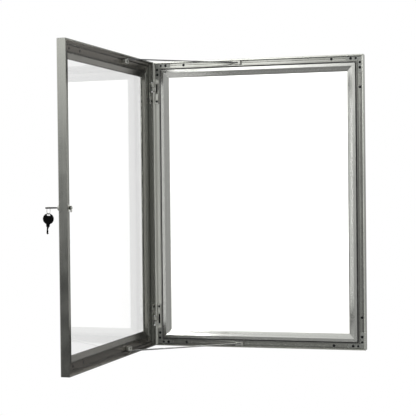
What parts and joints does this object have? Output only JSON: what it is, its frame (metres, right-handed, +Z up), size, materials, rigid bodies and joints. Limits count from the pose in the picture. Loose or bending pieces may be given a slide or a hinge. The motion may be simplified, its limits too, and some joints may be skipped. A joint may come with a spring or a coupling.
{
  "type": "lockable notice board",
  "caption": "Wall notice board with a shallow aluminium case, a glazed door held open by two stays, and a key lock on its free stile.",
  "frame": {"origin": "centre of the case's back face, where it lies on the wall", "axes": "+Z up, +Y into the wall, +X from the hinge side to the lock side"},
  "size_m": [0.5826, 0.528, 0.678],
  "materials": {
    "anodised_aluminium": "satin anodised extrusion",
    "satin_aluminium": "brighter satin strip",
    "die_cast_zinc": "bright die-cast zinc",
    "zinc_plated_steel": "zinc plated",
    "coated_steel_sheet": "matt coated sheet",
    "white_board": "smooth white coating",
    "black_rubber": "matt extruded",
    "clear_acrylic": "clear polished",
    "black_plastic": "moulded",
    "nickel_plate": "polished plate"
  },
  "bodies": {
    "case": {"case_rail_bottom": "anodised_aluminium", "case_stile_lock": "anodised_aluminium", "case_rail_top": "anodised_aluminium", "case_stile_hinge": "anodised_aluminium", "case_cleat_1": "zinc_plated_steel", "case_cleat_2": "zinc_plated_steel", "case_cleat_3": "zinc_plated_steel", "case_cleat_4": "zinc_plated_steel", "back_panel": "coated_steel_sheet", "display_panel": "white_board", "panel_bead_bottom": "satin_aluminium", "panel_bead_lock": "satin_aluminium", "panel_bead_top": "satin_aluminium", "panel_bead_hinge": "satin_aluminium", "bead_gasket": "black_rubber", "hinge_seal": "black_rubber", "hinge_leaf_case_top": "die_cast_zinc", "hinge_leaf_case_bottom": "die_cast_zinc", "hinge_pin_top": "zinc_plated_steel", "hinge_pin_bottom": "zinc_plated_steel"},
    "door": {"door_rail_bottom": "anodised_aluminium", "door_stile_lock": "anodised_aluminium", "door_rail_top": "anodised_aluminium", "door_stile_hinge": "anodised_aluminium", "door_cleat_1": "zinc_plated_steel", "door_cleat_2": "zinc_plated_steel", "door_cleat_3": "zinc_plated_steel", "door_cleat_4": "zinc_plated_steel", "glazing": "clear_acrylic", "glazing_bead_bottom": "satin_aluminium", "glazing_bead_lock": "satin_aluminium", "glazing_bead_top": "satin_aluminium", "glazing_bead_hinge": "satin_aluminium", "hinge_leaf_door_top": "die_cast_zinc", "hinge_leaf_door_bottom": "die_cast_zinc", "hinge_bush_top": "black_plastic", "hinge_bush_bottom": "black_plastic", "lock_barrel": "die_cast_zinc", "lock_nut": "zinc_plated_steel", "stay_bracket_top": "die_cast_zinc", "stay_bracket_bottom": "die_cast_zinc", "stay_screw_top": "zinc_plated_steel", "stay_screw_bottom": "zinc_plated_steel", "stay_pin_top": "zinc_plated_steel", "stay_pin_bottom": "zinc_plated_steel"},
    "lock": {"lock_plug": "nickel_plate", "lock_cam": "zinc_plated_steel", "cam_screw": "zinc_plated_steel"},
    "key": {"key": "black_plastic"},
    "ring": {"key_ring": "nickel_plate"},
    "spare": {"spare_key": "black_plastic"},
    "arm_top": {"stay_arm_top": "zinc_plated_steel"},
    "arm_bottom": {"stay_arm_bottom": "zinc_plated_steel"},
    "slider_top": {"stay_slider_top": "die_cast_zinc", "slider_pin_top": "zinc_plated_steel"},
    "slider_bottom": {"stay_slider_bottom": "die_cast_zinc", "slider_pin_bottom": "zinc_plated_steel"}
  },
  "joints": [
    {"name": "door_swing", "type": "hinge", "parent": "case", "child": "door", "pos_m": [-0.252, -0.0243, 0], "axis": [0, 0, 1], "range_deg": [0, 92]},
    {"name": "stay_turn_top", "type": "hinge", "parent": "door", "child": "arm_top", "pos_m": [-0.25972, -0.18813, 0.3302], "axis": [0, 0, 1], "range_deg": [-129.1, 0]},
    {"name": "slider_turn_top", "type": "hinge", "parent": "arm_top", "child": "slider_top", "pos_m": [-0.047, -0.0203, 0.3302], "axis": [0, 0, 1], "range_deg": [0, 37.1]},
    {"name": "stay_turn_bottom", "type": "hinge", "parent": "door", "child": "arm_bottom", "pos_m": [-0.25972, -0.18813, -0.3302], "axis": [0, 0, 1], "range_deg": [-129.1, 0]},
    {"name": "slider_turn_bottom", "type": "hinge", "parent": "arm_bottom", "child": "slider_bottom", "pos_m": [-0.047, -0.0203, -0.3302], "axis": [0, 0, 1], "range_deg": [0, 37.1]},
    {"name": "lock_turn", "type": "hinge", "parent": "door", "child": "lock", "pos_m": [-0.28949, -0.51629, 0], "axis": [-0.9994, 0.0349, 0], "range_deg": [0, 90]},
    {"name": "key_pull", "type": "slide", "parent": "lock", "child": "key", "axis": [-0.9994, 0.0349, 0], "range_m": [0, 0.018]},
    {"name": "ring_swing", "type": "hinge", "parent": "key", "child": "ring", "pos_m": [-0.31872, -0.50936, 0], "axis": [0.9994, -0.0349, 0], "range_deg": [-20, 20]},
    {"name": "spare_swing", "type": "hinge", "parent": "ring", "child": "spare", "pos_m": [-0.31872, -0.50936, -0.0135], "axis": [-0.0349, -0.9994, 0], "range_deg": [-30, 30]}
  ],
  "couplings": [
    {"joint": "stay_turn_top", "follows": "door_swing", "ratio": -1.4022},
    {"joint": "slider_turn_top", "follows": "door_swing", "ratio": 0.40221},
    {"joint": "stay_turn_bottom", "follows": "door_swing", "ratio": -1.4022},
    {"joint": "slider_turn_bottom", "follows": "door_swing", "ratio": 0.40221}
  ]
}
